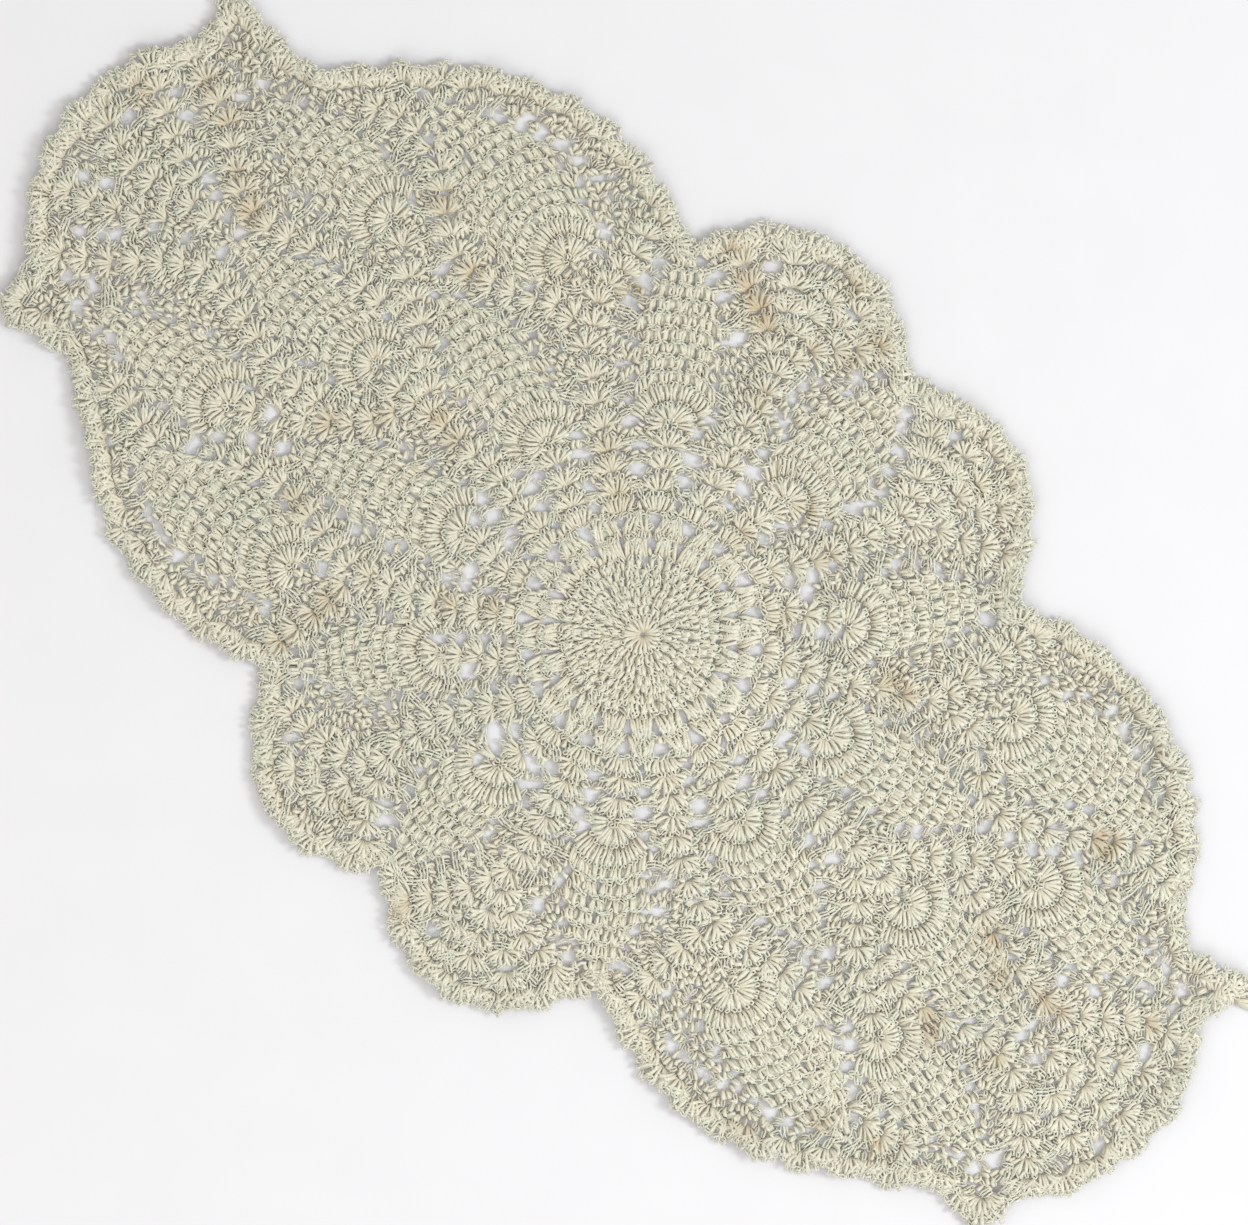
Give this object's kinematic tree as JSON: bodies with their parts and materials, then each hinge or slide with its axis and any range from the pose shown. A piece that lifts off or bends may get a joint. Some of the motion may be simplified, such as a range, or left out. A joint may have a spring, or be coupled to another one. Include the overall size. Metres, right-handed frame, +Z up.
{
  "type": "lace doily",
  "caption": "Flat runner-shaped doily of ecru crocheted cotton lace with a round medallion, pineapple motifs and a scalloped edge.",
  "frame": {"origin": "middle of the outline's box on the underside, where the lace rests on a table", "axes": "+X along the long axis, +Y across it, +Z up out of the table"},
  "size_m": [0.4786, 0.2632, 0.002],
  "materials": {
    "cotton": "matte unbleached crochet cotton, faintly stained"
  },
  "bodies": {
    "root": {"doily": "cotton"}
  },
  "joints": []
}
